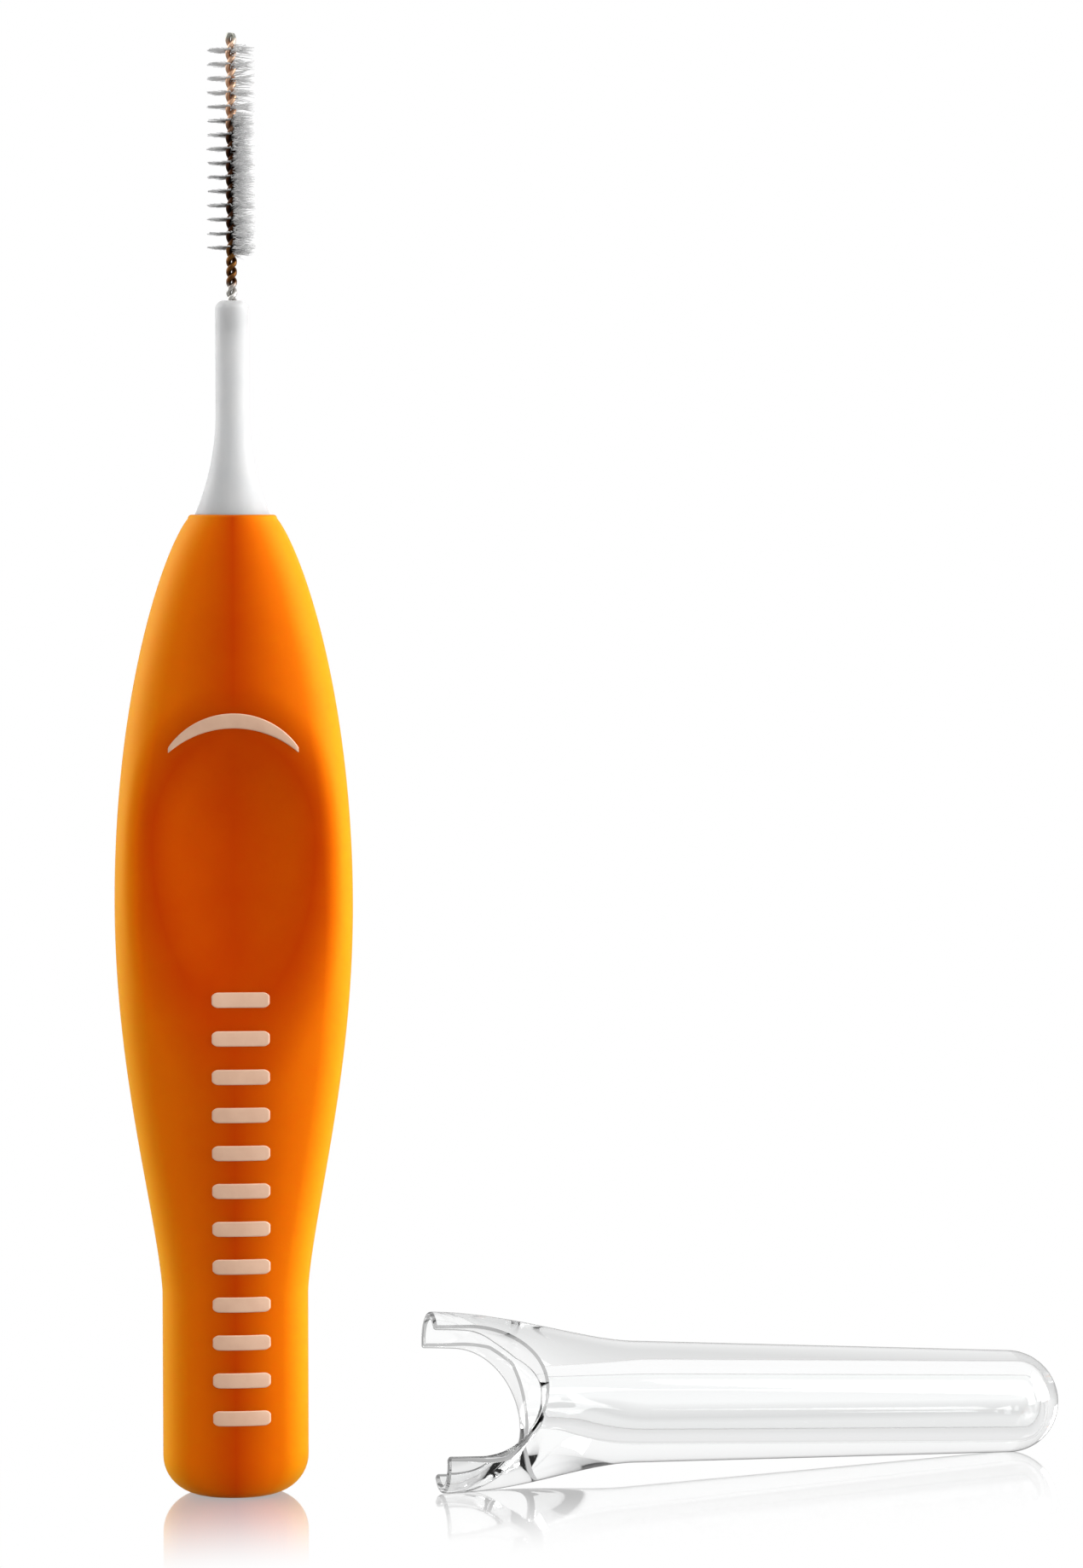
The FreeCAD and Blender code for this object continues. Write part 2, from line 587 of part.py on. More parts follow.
def make_cap():
    cap = doc.addObject("PartDesign::Body", "cap")
    loft(cap, "AdditiveLoft", "flare_and_tube", flare_sections(cap))
    dome = new_sketch(cap, "dome_profile", "XZ_Plane")
    outline(dome, [
        ("0", DOME_START, None),
        ("cap_end_diameter / 2", DOME_START, ("cap_end_diameter / 2", -1)),
        ("0", "cap_length", None),
    ])
    turned(cap, "Revolution", "dome", dome)
    loft(cap, "SubtractiveLoft", "lining", lining_sections(cap))
    bore = new_sketch(cap, "bore_profile", "XZ_Plane")
    bore_end = "(cap_length - cap_end_wall)"
    outline(bore, [
        ("0", "cap_lining_length", None),
        ("cap_bore_diameter / 2", "cap_lining_length", None),
        ("cap_bore_diameter / 2", f"{bore_end} - cap_bore_chamfer", None),
        ("cap_bore_diameter / 2 - cap_bore_chamfer", bore_end, None),
        ("0", bore_end, None),
    ])
    turned(cap, "Groove", "bore", bore)
    notch = new_sketch(cap, "notch_profile", "XZ_Plane")
    half = "(notch_width / 2)"
    outline(notch, [
        (half, "-overrun", None),
        (half, f"notch_depth - {half}", (half, -1)),
        ("0", "notch_depth", (half, -1)),
        (f"-{half}", f"notch_depth - {half}", None),
        (f"-{half}", "-overrun", None),
    ])
    cut = cap.newObject("PartDesign::Pocket", "notches")
    cut.Profile = notch
    cut.SideType = "Symmetric"
    cut.setExpression("Length", cells("cap_tube_diameter + 2 * overrun"))
    return cap


def lay_down(cap):
    """The cap rests on its domed end and on the rim of its lower ear, so its tilt follows from its sizes"""
    end_drop = size("cap_end_diameter") / 2
    span = size("cap_length") - end_drop
    tilts = []
    for share in FLARE_TRAVEL_SHARES:
        half_width = worked_out(cap_width_at(share)) / 2
        reach = size("corner_share") * (half_width - worked_out(cap_depth_at(share)) / 2)
        drop = reach * math.cos(math.radians(size("cap_roll_angle"))) + half_width - reach
        distance = span - size("cap_flare_length") * share
        tilts.append(math.atan2(drop, distance) - math.asin(end_drop / math.hypot(distance, drop)))
    tilt = max(tilts)
    place = V(size("cap_reach"), size("cap_setback"), end_drop + span * math.sin(tilt))
    turn = FreeCAD.Rotation(UP, size("cap_turn_angle"))
    lean = FreeCAD.Rotation(V(0, 1, 0), 90 + math.degrees(tilt))
    roll = FreeCAD.Rotation(UP, -size("cap_roll_angle"))
    cap.Placement = FreeCAD.Placement(place, turn * lean * roll)


stem_wire = make_stem_wire()
filaments = make_filaments()
cap = make_cap()
doc.recompute()
lay_down(cap)
doc.recompute()

# Check every object, then write one file for each sub-part
for item in doc.Objects:
    if "Invalid" in item.State or "Error" in item.State:
        raise RuntimeError(f"{item.Label} failed: {item.State}")
os.makedirs("parts", exist_ok=True)
for node in [grip, neck_core, stem_wire, *filaments, cap]:
    if node.Shape.isNull() or not node.Shape.isValid():
        raise RuntimeError(f"{node.Label} has no valid shape")
    node.Shape.exportStep(f"parts/{node.Label}.step")
    print(node.Label, "solids", len(node.Shape.Solids), "volume", round(node.Shape.Volume, 3))
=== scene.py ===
"""Interdental brush on a pale floor, with its clear cap lying beside it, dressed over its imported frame"""

import json
import math
import random

import bmesh
import bpy
from mathutils import Matrix, Vector


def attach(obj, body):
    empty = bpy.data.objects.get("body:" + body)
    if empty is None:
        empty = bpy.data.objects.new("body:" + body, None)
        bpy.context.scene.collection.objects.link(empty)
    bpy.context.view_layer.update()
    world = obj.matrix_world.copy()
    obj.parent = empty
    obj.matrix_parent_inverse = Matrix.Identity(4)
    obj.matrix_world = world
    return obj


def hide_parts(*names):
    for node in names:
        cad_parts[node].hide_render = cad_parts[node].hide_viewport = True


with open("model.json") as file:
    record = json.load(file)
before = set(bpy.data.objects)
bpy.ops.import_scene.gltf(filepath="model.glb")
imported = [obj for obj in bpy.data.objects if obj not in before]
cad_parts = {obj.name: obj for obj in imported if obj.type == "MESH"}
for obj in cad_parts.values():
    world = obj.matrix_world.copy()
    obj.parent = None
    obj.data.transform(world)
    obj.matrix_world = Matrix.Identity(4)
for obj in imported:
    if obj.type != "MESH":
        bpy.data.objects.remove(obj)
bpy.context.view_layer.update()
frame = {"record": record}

# The shape functions below work in millimetres, as the part's source does, and meshes are made in metres
MM = 0.001
TINY = 1e-9
random.seed(7)

# Grip: its crown gives way to the marks that stand on it, so that the dressed grip stays in the CAD box
GRIP_LENGTH = 47.7
GRIP_WIDTH, WIDEST_HEIGHT = 11.56, 28.8
TAIL_WIDTH, TAIL_THICKNESS, WAIST_HEIGHT = 7.1, 4.4, 9.8
SHOULDER_WIDTH, SHOULDER_THICKNESS, SHOULDER_ROUND = 3.92, 3.74, 0.18
MARK_RISE = 0.04
CROWN_THICKNESS, CROWN_HEIGHT = 5.8 - 2 * MARK_RISE, 37.0
CORNER_SHARE, MEET_ANGLE = 1.214, math.radians(70)
BULLET_POWER, WAIST_POWER = 0.75, 1.45
FOOT_SIDE_ROUND, FOOT_FACE_ROUND = 1.85, 0.6
HOLLOW_HEIGHT, HOLLOW_DEPTH, HOLLOW_RIM_BLEND = 32.0, 1.3, 0.85
HOLLOW_TOP_RADIUS, HOLLOW_FADE_RADIUS, HOLLOW_WIDTH_RADIUS = 15.0, 45.0, 30.0

# Pale marks on the front: the crescent, and a plain ladder of rungs
CRESCENT_TOP, CRESCENT_MIDDLE, CRESCENT_WIDTH = 38.2, 0.74, 6.5
CRESCENT_OUTER_RADIUS, CRESCENT_INNER_RADIUS = 3.8, 4.7
RUNG_LENGTH, RUNG_BREADTH, RUNG_PITCH, RUNG_COUNT = 2.9, 0.75, 1.85, 12
LADDER_FOOT, LADDER_SHIFT = 4.0, 0.3
HORN_LENGTH = RUNG_BREADTH / 4

# Pads of the marks: share of the edge's breadth and share of the rise, from below the grip's skin to the top
PAD_EDGE_PROFILE = ((0.0, -1.5), (0.0, -0.2), (0.25, 0.6), (0.6, 0.9), (1.0, 1.0))
PAD_EDGE_BREADTH, PAD_END_SLOPE = 0.09, 14

# Neck, wire and filaments
NECK_HEIGHT, NECK_DIAMETER, NECK_TIP_ROUND, NECK_SEAT = 10.3, 1.6, 0.4, 0.3
NECK_FLARE_HEIGHT, NECK_FLARE_DIAMETER = 4.9, 3.64
NECK_BORE_DIAMETER, NECK_BORE_DEPTH = 0.6, 1.5
WIRE_DIAMETER, LEG_RADIUS = 0.25, 0.14
ANCHOR_DEPTH, BARE_LENGTH, BRUSH_LENGTH, TIP_LENGTH = 4.5, 2.2, 10.1, 0.5
BARE_PITCH, BRUSH_TURNS = 0.98, 7.5
BRUSH_PITCH = BRUSH_LENGTH / BRUSH_TURNS
BRUSH_DIAMETER, FILAMENT_DIAMETER, FILAMENTS_PER_TUFT = 2.4, 0.05, 44
NECK_TOP = GRIP_LENGTH + NECK_HEIGHT
BRUSH_BOTTOM = NECK_TOP + BARE_LENGTH
WIRE_TOP = BRUSH_BOTTOM + BRUSH_LENGTH + TIP_LENGTH

# Lie of the bristles: reach as a share of the brush's radius, stray as the rise or fall of a tip
TUFT_SPREAD, WORN_TUFTS = 0.14, 10
LOWER_WORN_COUNT, UPPER_WORN_COUNT = 3 * FILAMENTS_PER_TUFT, FILAMENTS_PER_TUFT // 2
NEAT_REACH, WORN_REACH = (0.9, 0.985), (0.6, 0.98)
NEAT_STRAY, LOOSE_STRAY, WORN_STRAY = 0.03, 0.2, 0.25
WORN_FAN_ANGLE, SIDE_BOW, BOW_POWER, TIP_TAPER = 1.3, 0.06, 1.2, 0.45

# Cap
CAP_LENGTH, CAP_MOUTH_WIDTH, CAP_MOUTH_DEPTH = 32.9, 9.34, 3.84
CAP_FLARE_LENGTH, CAP_TUBE_DIAMETER, CAP_END_DIAMETER = 10.5, 6.0, 5.16
CAP_LINING_LENGTH, CAP_BORE_START_DIAMETER, CAP_BORE_END_DIAMETER = 5.2, 2.8, 2.65
CAP_LIP_WALL, CAP_END_WALL, CAP_BORE_ROUND = 0.38, 1.2, 0.9
CAP_NOTCH_WIDTH, CAP_NOTCH_DEPTH, CAP_ROLL = 6.7, 5.02, 32.2
CAP_BORE_CHAMFER, CAP_RIM_ROUND = 0.8, 0.14
CAP_FLARE_WIDTH_POWER, CAP_FLARE_DEPTH_POWER = 2.0, 3.2
DOME_RADIUS = CAP_END_DIAMETER / 2
DOME_CENTRE = CAP_LENGTH - DOME_RADIUS
BORE_END = CAP_LENGTH - CAP_END_WALL
WIDEST_NOTCH_SHARE, WIDEST_ROUND_SHARE = 0.985, 0.48
POLE_RADIUS, WELD_GAP, SLIVER = 1e-4, 1e-3, 1e-5

# Steps of the meshes
SECTION_SIDE_STEPS, SECTION_FACE_STEPS = 44, 30
FOOT_STEPS, GRIP_STEPS, SHOULDER_STEPS, PAD_STEPS = 12, 280, 5, 90
NECK_FLARE_STEPS, NECK_STEPS, NECK_TIP_STEPS, NECK_SIDES = 40, 16, 8, 72
WIRE_STEPS, WIRE_SIDES, BRISTLE_STEPS, BRISTLE_SIDES = 560, 14, 4, 5
NOTCH_SIDE_STEPS, NOTCH_END_STEPS, CAP_RING_STEPS = 8, 32, 72
CAP_FLARE_STEPS, CAP_TUBE_STEPS, DOME_STEPS, BORE_END_STEPS = 26, 24, 18, 10
RIM_STEPS, EAR_CORNER_STEPS = 12, 6

# Numbers of the cap's materials: its skin, and the corners and the crest of its rim
SKIN, CORNER, CREST = 0, 1, 2
RIM_MATERIALS = [CORNER] * 5 + [CREST] * 2 + [CORNER] * 5


def named(rows, name):
    return next(row for row in rows if row["name"] == name)


def link(name, mesh, body):
    """Smooth-shaded object of a mesh in millimetres, riding on a body"""
    mesh.transform(Matrix.Scale(MM, 4))
    mesh.polygons.foreach_set("use_smooth", [True] * len(mesh.polygons))
    piece = bpy.data.objects.new(name, mesh)
    bpy.context.scene.collection.objects.link(piece)
    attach(piece, body)
    return piece


def grid_mesh(name, rows, closed=True, caps=()):
    """Mesh through rows of points, each row closed into a ring or open, with flat caps on the rows named"""
    mesh = bpy.data.meshes.new(name)
    count = len(rows[0])
    points = [point for row in rows for point in row]
    faces = []
    for row in range(len(rows) - 1):
        low, high = row * count, (row + 1) * count
        for column in range(count if closed else count - 1):
            after = (column + 1) % count
            faces.append((low + column, low + after, high + after, high + column))
    if "first" in caps:
        faces.append(tuple(range(count - 1, -1, -1)))
    if "last" in caps:
        faces.append(tuple(range((len(rows) - 1) * count, len(rows) * count)))
    mesh.from_pydata(points, [], faces)
    mesh.validate()
    return mesh


def steps(start, end, count):
    return [start + (end - start) * number / count for number in range(count + 1)]


# Oval sections of four tangent arcs, walked by the direction of their normal
def oval_arcs(half_width, half_thickness):
    """Centre distance and radius of the side arcs, drop and radius of the face arcs, and where they meet"""
    reach = CORNER_SHARE * (half_width - half_thickness)
    side_radius = half_width - reach
    if abs(reach) < TINY:
        return 0.0, side_radius, 0.0, side_radius, MEET_ANGLE
    face_radius = (reach ** 2 + half_thickness ** 2 - side_radius ** 2) / (half_thickness - side_radius) / 2
    drop = face_radius - half_thickness
    return reach, side_radius, drop, face_radius, math.atan2(drop, reach)


def oval_point(half_width, half_thickness, turn):
    reach, side_radius, drop, face_radius, meet = oval_arcs(half_width, half_thickness)
    x, y = math.cos(turn), math.sin(turn)
    if abs(y) > math.sin(meet):
        return face_radius * x, face_radius * y - math.copysign(drop, y)
    return math.copysign(reach, x) + side_radius * x, side_radius * y


def oval_turns(side_steps, face_steps):
    side_turns = steps(-MEET_ANGLE, MEET_ANGLE, side_steps)[:-1]
    half_turns = side_turns + steps(MEET_ANGLE, math.pi - MEET_ANGLE, face_steps)[:-1]
    return half_turns + [turn + math.pi for turn in half_turns]


def oval_row(half_width, half_thickness, height, turns):
    return [(*oval_point(half_width, half_thickness, turn), height) for turn in turns]


def eased(end, middle, travel, power):
    return end + (middle - end) * max(0.0, 1 - travel ** 2) ** power


# Grip: the source's bullet form, with soft rims round the thumb hollows
def grip_half_sizes(height):
    if height < WIDEST_HEIGHT:
        travel = min(1.0, (WIDEST_HEIGHT - height) / (WIDEST_HEIGHT - WAIST_HEIGHT))
        width = eased(TAIL_WIDTH, GRIP_WIDTH, travel, WAIST_POWER)
    else:
        travel = (height - WIDEST_HEIGHT) / (GRIP_LENGTH - WIDEST_HEIGHT)
        width = eased(SHOULDER_WIDTH, GRIP_WIDTH, travel, BULLET_POWER)
    if height < CROWN_HEIGHT:
        travel = min(1.0, (CROWN_HEIGHT - height) / (CROWN_HEIGHT - WAIST_HEIGHT))
        thickness = eased(TAIL_THICKNESS, CROWN_THICKNESS, travel, WAIST_POWER)
    else:
        travel = (height - CROWN_HEIGHT) / (GRIP_LENGTH - CROWN_HEIGHT)
        thickness = eased(SHOULDER_THICKNESS, CROWN_THICKNESS, travel, BULLET_POWER)
    return width / 2, thickness / 2


def hollow_surface(x, height):
    """Distance of the thumb hollow's surface from the middle plane, or None beside it"""
    radius = HOLLOW_TOP_RADIUS if height > HOLLOW_HEIGHT else HOLLOW_FADE_RADIUS
    sag = HOLLOW_WIDTH_RADIUS - math.sqrt(HOLLOW_WIDTH_RADIUS ** 2 - x ** 2)
    inside = (radius - sag) ** 2 - (height - HOLLOW_HEIGHT) ** 2
    if inside <= 0:
        return None
    return CROWN_THICKNESS / 2 - HOLLOW_DEPTH + radius - math.sqrt(inside)


def soft_minimum(a, b, blend):
    share = max(blend - abs(a - b), 0.0) / blend
    return min(a, b) - share ** 2 * blend / 4


def hollowed(x, y, height):
    surface = hollow_surface(x, height)
    if surface is None:
        return y
    return math.copysign(max(0.0, soft_minimum(abs(y), surface, HOLLOW_RIM_BLEND)), y)


def front_of_grip(x, height):
    """Y of the grip's front at a place, found on the oval section through it"""
    half_width, half_thickness = grip_half_sizes(height)
    reach, side_radius, drop, face_radius, meet = oval_arcs(half_width, half_thickness)
    if abs(x) < face_radius * math.cos(meet):
        y = math.sqrt(face_radius ** 2 - x ** 2) - drop
    else:
        y = math.sqrt(max(0.0, side_radius ** 2 - (abs(x) - reach) ** 2))
    return hollowed(x, -y, height)


def make_grip():
    turns = oval_turns(SECTION_SIDE_STEPS, SECTION_FACE_STEPS)
    rows = []
    for angle in steps(0, math.pi / 2, FOOT_STEPS):
        half_width = TAIL_WIDTH / 2 - FOOT_SIDE_ROUND * (1 - math.sin(angle))
        half_thickness = TAIL_THICKNESS / 2 - FOOT_FACE_ROUND * (1 - math.sin(angle))
        rows.append(oval_row(half_width, half_thickness, FOOT_SIDE_ROUND * (1 - math.cos(angle)), turns))
    shoulder_bottom = GRIP_LENGTH - SHOULDER_ROUND
    for height in steps(FOOT_SIDE_ROUND, shoulder_bottom, GRIP_STEPS)[1:]:
        row = oval_row(*grip_half_sizes(height), height, turns)
        rows.append([(x, hollowed(x, y, height), height) for x, y, _ in row])
    half_width, half_thickness = grip_half_sizes(shoulder_bottom)
    for angle in steps(0, math.pi / 2, SHOULDER_STEPS)[1:]:
        inset = SHOULDER_ROUND * (1 - math.cos(angle))
        height = GRIP_LENGTH - SHOULDER_ROUND * (1 - math.sin(angle))
        rows.append(oval_row(half_width - inset, half_thickness - inset, height, turns))
    grip = link("grip_skin", grid_mesh("grip_skin", rows, caps=("first", "last")), "brush")
    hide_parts("grip")
    return grip


# Marks: thin pale pads with rounded edges that follow the grip's front
def make_pad(name, outline):
    """Pad from an outline function: share along, share across -> (x, height)"""
    rows = []
    for along in steps(0, 1, PAD_STEPS):
        low, high = Vector(outline(along, 0.0)), Vector(outline(along, 1.0))
        breadth = (high - low).length
        margin = min(PAD_EDGE_BREADTH / max(breadth, TINY), 0.5)
        shares = [(share * margin, rise) for share, rise in PAD_EDGE_PROFILE]
        shares += [(0.5, 1.0)] + [(1 - share, rise) for share, rise in reversed(shares)]
        ends = min(1.0, (1 - abs(2 * along - 1)) * PAD_END_SLOPE)
        row = []
        for share, rise in shares:
            x, height = low.lerp(high, share)
            lift = MARK_RISE * (rise if ends == 1 else min(rise, 2 * ends - 1))
            row.append((x, front_of_grip(x, height) - lift, height))
        rows.append(row)
    return link(name, grid_mesh(name, rows, closed=False), "brush")


def crescent_outline(along, across):
    x = CRESCENT_WIDTH / 2 * (2 * along - 1)
    outer = CRESCENT_TOP - CRESCENT_OUTER_RADIUS + math.sqrt(CRESCENT_OUTER_RADIUS ** 2 - x ** 2)
    inner_centre = CRESCENT_TOP - CRESCENT_MIDDLE - CRESCENT_INNER_RADIUS
    inner = inner_centre + math.sqrt(CRESCENT_INNER_RADIUS ** 2 - x ** 2)
    from_end = CRESCENT_WIDTH / 2 - abs(x)
    if from_end < HORN_LENGTH:
        pinch = math.sqrt(1 - (1 - from_end / HORN_LENGTH) ** 2)
        middle = (inner + outer) / 2
        inner, outer = middle + (inner - middle) * pinch, middle + (outer - middle) * pinch
    return x, inner + (outer - inner) * across


def rung_outline(number):
    middle = LADDER_FOOT + RUNG_PITCH * number
    radius = RUNG_BREADTH / 2

    def outline(along, across):
        x = RUNG_LENGTH / 2 * (2 * along - 1)
        past = max(0.0, abs(x) - (RUNG_LENGTH / 2 - radius))
        half = math.sqrt(max(0.0, radius ** 2 - past ** 2))
        return LADDER_SHIFT + x, middle + half * (2 * across - 1)

    return outline


def make_marks():
    marks = [make_pad("crescent", crescent_outline)]
    for number in range(RUNG_COUNT):
        marks.append(make_pad(f"rung_{number + 1}", rung_outline(number)))
    return marks


# Neck: a smooth turned form with a rounded rim and the wire's bore
def make_neck():
    gain = (NECK_FLARE_DIAMETER - NECK_DIAMETER) / 2
    flare_radius = (gain ** 2 + NECK_FLARE_HEIGHT ** 2) / (2 * gain)
    flare_top = GRIP_LENGTH + NECK_FLARE_HEIGHT
    profile = [(NECK_FLARE_DIAMETER / 2, GRIP_LENGTH - NECK_SEAT)]
    for height in steps(GRIP_LENGTH, flare_top, NECK_FLARE_STEPS):
        sag = flare_radius - math.sqrt(flare_radius ** 2 - (flare_top - height) ** 2)
        profile.append((NECK_DIAMETER / 2 + sag, height))
    for height in steps(flare_top, NECK_TOP - NECK_TIP_ROUND, NECK_STEPS)[1:]:
        profile.append((NECK_DIAMETER / 2, height))
    for angle in steps(0, math.pi / 2, NECK_TIP_STEPS)[1:]:
        radius = NECK_DIAMETER / 2 - NECK_TIP_ROUND * (1 - math.cos(angle))
        profile.append((radius, NECK_TOP - NECK_TIP_ROUND * (1 - math.sin(angle))))
    profile.append((NECK_BORE_DIAMETER / 2, NECK_TOP))
    profile.append((NECK_BORE_DIAMETER / 2, NECK_TOP - NECK_BORE_DEPTH))
    turns = steps(0, 2 * math.pi, NECK_SIDES)[:-1]
    rows = [[(r * math.cos(turn), r * math.sin(turn), height) for turn in turns] for r, height in profile]
    neck = link("neck", grid_mesh("neck", rows, caps=("first", "last")), "brush")
    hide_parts("neck_core")
    return neck


# Wire: two legs twisted about each other, closely enough stepped to look round
def twist_angle(height):
    """Twist of the wire at a height, counted from the fold in the neck"""
    fold = NECK_TOP - ANCHOR_DEPTH
    bare = 2 * math.pi * (min(height, BRUSH_BOTTOM) - fold) / BARE_PITCH
    return bare + 2 * math.pi * max(0.0, height - BRUSH_BOTTOM) / BRUSH_PITCH


def leg_mesh(name, phase):
    """Leg of the wire, whose level sections are stretched sideways as far as its slope asks"""
    radius = WIRE_DIAMETER / 2
    rows = []
    for height in steps(NECK_TOP - ANCHOR_DEPTH, WIRE_TOP, WIRE_STEPS):
        angle = twist_angle(height) + phase
        pitch = BARE_PITCH if height < BRUSH_BOTTOM else BRUSH_PITCH
        stretch = math.hypot(1, 2 * math.pi * LEG_RADIUS / pitch)
        row = []
        for turn in steps(0, 2 * math.pi, WIRE_SIDES)[:-1]:
            out, side = LEG_RADIUS + radius * math.cos(turn), stretch * radius * math.sin(turn)
            x = out * math.cos(angle) - side * math.sin(angle)
            y = out * math.sin(angle) + side * math.cos(angle)
            row.append((x, y, height))
        rows.append(row)
    return grid_mesh(name, rows, caps=("first", "last"))


def make_wire():
    legs = [link("wire_leg_1", leg_mesh("wire_leg_1", 0.0), "brush")]
    legs.append(link("wire_leg_2", leg_mesh("wire_leg_2", math.pi), "brush"))
    for leg in legs:
        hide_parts("stem_wire")
    return legs


# Filaments: fine bristles that fan out in one tuft for each half turn of the twist
def bristle(points, faces, height, angle, reach, stray):
    """Add a bristle on one side of the wire, tapering from the wire to its tip"""
    along = Vector((math.cos(angle), math.sin(angle), 0))
    side = Vector((-along.y, along.x, 0))
    bow = Vector((0, 0, stray)) + side * random.uniform(-SIDE_BOW, SIDE_BOW)
    base = len(points)
    for share in steps(0, 1, BRISTLE_STEPS):
        centre = Vector((0, 0, height)) + along * reach * share + bow * share ** BOW_POWER
        radius = FILAMENT_DIAMETER / 2 * (1 - TIP_TAPER * share ** 2)
        for turn in steps(0, 2 * math.pi, BRISTLE_SIDES)[:-1]:
            points.append(centre + side * radius * math.cos(turn) + Vector((0, 0, radius * math.sin(turn))))
    for ring in range(BRISTLE_STEPS):
        low, high = base + ring * BRISTLE_SIDES, base + (ring + 1) * BRISTLE_SIDES
        for number in range(BRISTLE_SIDES):
            after = (number + 1) % BRISTLE_SIDES
            faces.append((low + number, low + after, high + after, high + number))
    tip = base + BRISTLE_STEPS * BRISTLE_SIDES
    faces.append(tuple(tip + number for number in range(BRISTLE_SIDES)))


def add_tuft(points, faces, tuft):
    """Neat bristles on both sides, looser towards the right, and worn ones that fan out on the right"""
    half_turn = BRUSH_PITCH / 2
    middle = BRUSH_BOTTOM + half_turn * (tuft + 0.5)
    for _ in range(FILAMENTS_PER_TUFT):
        travel = random.uniform(-0.5, 0.5)
        height = middle + half_turn * travel * TUFT_SPREAD
        for angle in (math.pi * travel, math.pi * (travel + 1)):
            reach = BRUSH_DIAMETER / 2 * random.uniform(*NEAT_REACH)
            stray = NEAT_STRAY + LOOSE_STRAY * max(0.0, math.cos(angle))
            bristle(points, faces, height, angle, reach, random.uniform(-stray, stray))
    for _ in range(LOWER_WORN_COUNT if tuft < WORN_TUFTS else UPPER_WORN_COUNT):
        height = middle + half_turn * random.uniform(-0.5, 0.5)
        reach = BRUSH_DIAMETER / 2 * random.uniform(*WORN_REACH)
        angle = random.uniform(-WORN_FAN_ANGLE, WORN_FAN_ANGLE)
        bristle(points, faces, height, angle, reach, random.uniform(-WORN_STRAY, WORN_STRAY))


def make_bristles():
    """One piece for each turn of the twist, with the tufts of its two half turns"""
    tufts = round(2 * BRUSH_TURNS)
    pieces = []
    for turn_number in range(1, math.ceil(BRUSH_TURNS) + 1):
        points, faces = [], []
        for tuft in range(2 * turn_number - 2, min(2 * turn_number, tufts)):
            add_tuft(points, faces, tuft)
        name = f"bristles_turn_{turn_number}"
        mesh = bpy.data.meshes.new(name)
        mesh.from_pydata(points, [], faces)
        piece = link(name, mesh, "brush")
        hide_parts(f"filaments_turn_{turn_number}")
        pieces.append(piece)
    return pieces


# Cap: a clear shell whose two halves are walked in rows from the ears to the closed end
def cap_outer(distance):
    if distance < CAP_FLARE_LENGTH:
        fall = 1 - (distance / CAP_FLARE_LENGTH) ** 2
        width = CAP_TUBE_DIAMETER + (CAP_MOUTH_WIDTH - CAP_TUBE_DIAMETER) * fall ** CAP_FLARE_WIDTH_POWER
        depth = CAP_TUBE_DIAMETER - (CAP_TUBE_DIAMETER - CAP_MOUTH_DEPTH) * fall ** CAP_FLARE_DEPTH_POWER
        return width / 2, depth / 2
    share = (distance - CAP_FLARE_LENGTH) / (DOME_CENTRE - CAP_FLARE_LENGTH)
    radius = (CAP_TUBE_DIAMETER + (CAP_END_DIAMETER - CAP_TUBE_DIAMETER) * min(share, 1)) / 2
    return radius, radius


def cap_inner(distance):
    start = CAP_BORE_START_DIAMETER
    if distance < CAP_LINING_LENGTH:
        fall = 1 - (distance / CAP_LINING_LENGTH) ** 2
        width = start + (CAP_MOUTH_WIDTH - 2 * CAP_LIP_WALL - start) * fall
        depth = start + (CAP_MOUTH_DEPTH - 2 * CAP_LIP_WALL - start) * fall
        return width / 2, depth / 2
    share = (distance - CAP_LINING_LENGTH) / (BORE_END - CAP_LINING_LENGTH)
    radius = (start + (CAP_BORE_END_DIAMETER - start) * share) / 2
    return radius, radius


def half_ring(half_width, half_depth, edge, distance, side):
    """Even points of one half of a section, from the notch's back edge round the ear to its front edge"""
    reach, side_radius, _, face_radius, meet = oval_arcs(half_width, half_depth)
    edge = min(edge, WIDEST_NOTCH_SHARE * half_width)
    if edge < reach + side_radius * math.cos(meet):
        travel = side_radius * meet + face_radius * (math.acos(edge / face_radius) - meet)
    else:
        travel = side_radius * math.acos((edge - reach) / side_radius)
    ring = []
    for place in steps(travel, -travel, CAP_RING_STEPS):
        past = abs(place) - side_radius * meet
        turn = abs(place) / side_radius if past < 0 else meet + past / face_radius
        x, y = oval_point(half_width, half_depth, math.copysign(turn, place))
        ring.append((side * x, y, distance))
    return ring


def notch_stations():
    """Distance from the ears, half width of the notch and slant of its edge, from the ears to its bottom"""
    radius = CAP_NOTCH_WIDTH / 2 + CAP_RIM_ROUND
    centre = CAP_NOTCH_DEPTH - CAP_NOTCH_WIDTH / 2
    stations = [(distance, radius, 0.0) for distance in steps(CAP_RIM_ROUND, centre, NOTCH_SIDE_STEPS)[:-1]]
    for angle in steps(0, math.pi / 2, NOTCH_END_STEPS):
        stations.append((centre + radius * math.sin(angle), radius * math.cos(angle), angle))
    return stations


def rim_profile(outside, inside, away):
    """Rounded edge from the outer surface to the inner one, bulging the way that the edge faces"""
    across = inside - outside
    inset = min(CAP_RIM_ROUND / across.length, WIDEST_ROUND_SHARE)
    profile = []
    for turn in steps(0, math.pi, RIM_STEPS):
        share = inset * (1 - abs(math.cos(turn)))
        share = share if turn < math.pi / 2 else 1 - share
        profile.append(outside + across * share + away * CAP_RIM_ROUND * math.sin(turn))
    return profile


